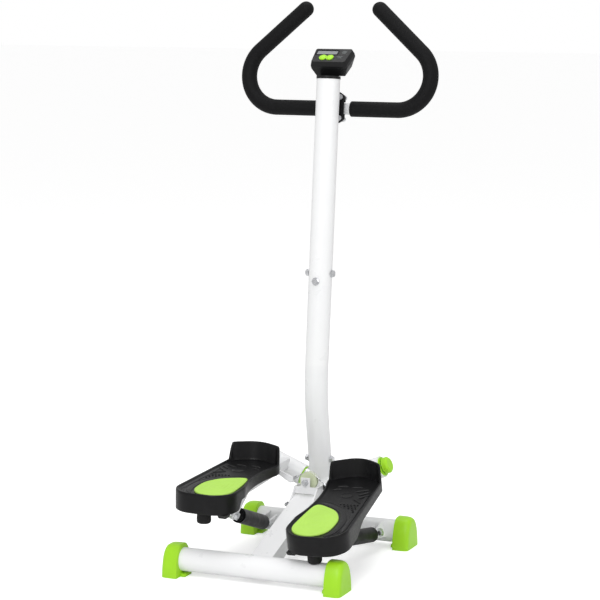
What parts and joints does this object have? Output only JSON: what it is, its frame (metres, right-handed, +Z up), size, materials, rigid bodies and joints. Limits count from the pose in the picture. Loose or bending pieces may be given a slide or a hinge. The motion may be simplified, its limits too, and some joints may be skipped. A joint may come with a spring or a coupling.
{
  "type": "twist stepper",
  "caption": "Twist stepper: two foot-shaped pedals on inclined pivots with dampers, on a sloping base with a bent column, bullhorn bar and small console.",
  "frame": {"origin": "on the floor under the centre of the rectangle spanned by the two stabilizers", "axes": "+X to the user's right, +Y forward away from the user, +Z up"},
  "size_m": [0.4606, 0.5322, 1.1854],
  "materials": {
    "white_steel": "gloss white powder coat",
    "lime_plastic": "moulded lime green plastic",
    "lime_pad": "soft lime green pad",
    "black_plastic": "moulded black plastic with a fine texture",
    "black_barrel": "gloss black paint",
    "zinc_steel": "bright zinc plate",
    "black_foam": "closed-cell foam",
    "black_rubber": "moulded rubber",
    "lead_jacket": "cable jacket",
    "nylon": "natural nylon",
    "lens": "clear window",
    "lcd": "blank liquid crystal panel",
    "board": "circuit board with solder mask"
  },
  "bodies": {
    "root": {"rear_stabilizer_tube": "white_steel", "front_stabilizer_tube": "white_steel", "main_beam": "white_steel", "post_tube": "white_steel", "left_pivot_axle": "zinc_steel", "right_pivot_axle": "zinc_steel", "rear_end_caps": "lime_plastic", "front_end_caps": "lime_plastic", "cylinder_brackets": "white_steel", "cylinder_pins": "zinc_steel", "pulley_bracket": "white_steel", "bracket_bolts": "zinc_steel", "pedal_cable": "zinc_steel", "lower_column": "white_steel", "upper_column": "white_steel", "column_bolts": "zinc_steel", "column_nuts": "zinc_steel", "handlebar_tube": "white_steel", "left_grip": "black_foam", "right_grip": "black_foam", "handlebar_saddle": "black_barrel", "handlebar_clamp": "black_barrel", "clamp_bolts": "zinc_steel", "clamp_nuts": "zinc_steel", "column_cap": "black_plastic", "console_base": "black_plastic", "console_cover": "black_plastic", "display_lens": "lens", "lcd_panel": "lcd", "circuit_board": "board", "button_cell": "zinc_steel", "battery_door": "black_plastic", "sensor_lead": "lead_jacket", "reed_sensor": "black_plastic", "pivot_nuts": "zinc_steel", "pivot_caps": "lime_plastic"},
    "pulley": {"cable_pulley": "nylon"},
    "button": {"console_button": "lime_plastic"},
    "right_pedal": {"sensor_magnet": "zinc_steel", "right_arm": "white_steel", "right_pedal_tray": "black_plastic", "right_foot_pad": "lime_pad", "right_bumper": "black_rubber", "right_heel_stop": "black_rubber", "right_pedal_screws": "zinc_steel", "right_pivot_bushes": "lime_plastic", "right_rod_pin": "zinc_steel"},
    "left_pedal": {"left_arm": "white_steel", "left_pedal_tray": "black_plastic", "left_foot_pad": "lime_pad", "left_bumper": "black_rubber", "left_heel_stop": "black_rubber", "left_pedal_screws": "zinc_steel", "left_pivot_bushes": "lime_plastic", "left_rod_pin": "zinc_steel"},
    "left_damper": {"left_cylinder": "black_barrel"},
    "right_damper": {"right_cylinder": "black_barrel"},
    "left_rod": {"left_piston_rod": "zinc_steel"},
    "right_rod": {"right_piston_rod": "zinc_steel"}
  },
  "joints": [
    {"name": "right_step", "type": "hinge", "parent": "root", "child": "right_pedal", "pos_m": [0, 0.1715, 0.126], "axis": [-0.9272, 0, -0.3746], "range_deg": [0, 10], "deforming": ["pedal_cable"]},
    {"name": "left_step", "type": "hinge", "parent": "root", "child": "left_pedal", "pos_m": [0, 0.1715, 0.126], "axis": [-0.9272, 0, 0.3746], "range_deg": [-10, 0]},
    {"name": "right_damper_swing", "type": "hinge", "parent": "root", "child": "right_damper", "pos_m": [0.13132, 0.1415, 0.03669], "axis": [-0.9272, 0, -0.3746], "range_deg": [0, 9.84]},
    {"name": "left_damper_swing", "type": "hinge", "parent": "root", "child": "left_damper", "pos_m": [-0.13132, 0.1415, 0.03669], "axis": [-0.9272, 0, 0.3746], "range_deg": [-9.84, 0]},
    {"name": "right_rod_slide", "type": "slide", "parent": "right_damper", "child": "right_rod", "axis": [-0.064, -0.9853, 0.1585], "range_m": [0, 0.02361]},
    {"name": "left_rod_slide", "type": "slide", "parent": "left_damper", "child": "left_rod", "axis": [0.126, -0.9417, 0.3119], "range_m": [-0.02361, 0]},
    {"name": "pulley_turn", "type": "hinge", "parent": "root", "child": "pulley", "pos_m": [0, 0.0865, 0.156], "axis": [0, 1, 0], "range_deg": [-37.61, 0]},
    {"name": "button_press", "type": "slide", "parent": "root", "child": "button", "axis": [0, 0.5446, -0.8387], "range_m": [0, 0.001], "stiffness_N_per_m": 400}
  ],
  "couplings": [
    {"joint": "left_step", "follows": "right_step", "ratio": -1},
    {"joint": "right_damper_swing", "follows": "right_step", "ratio": 0.98155},
    {"joint": "left_damper_swing", "follows": "right_step", "ratio": -0.98155},
    {"joint": "right_rod_slide", "follows": "right_step", "m_per_rad": 0.13512},
    {"joint": "left_rod_slide", "follows": "right_step", "m_per_rad": -0.13512},
    {"joint": "pulley_turn", "follows": "right_step", "ratio": -3.7315}
  ]
}
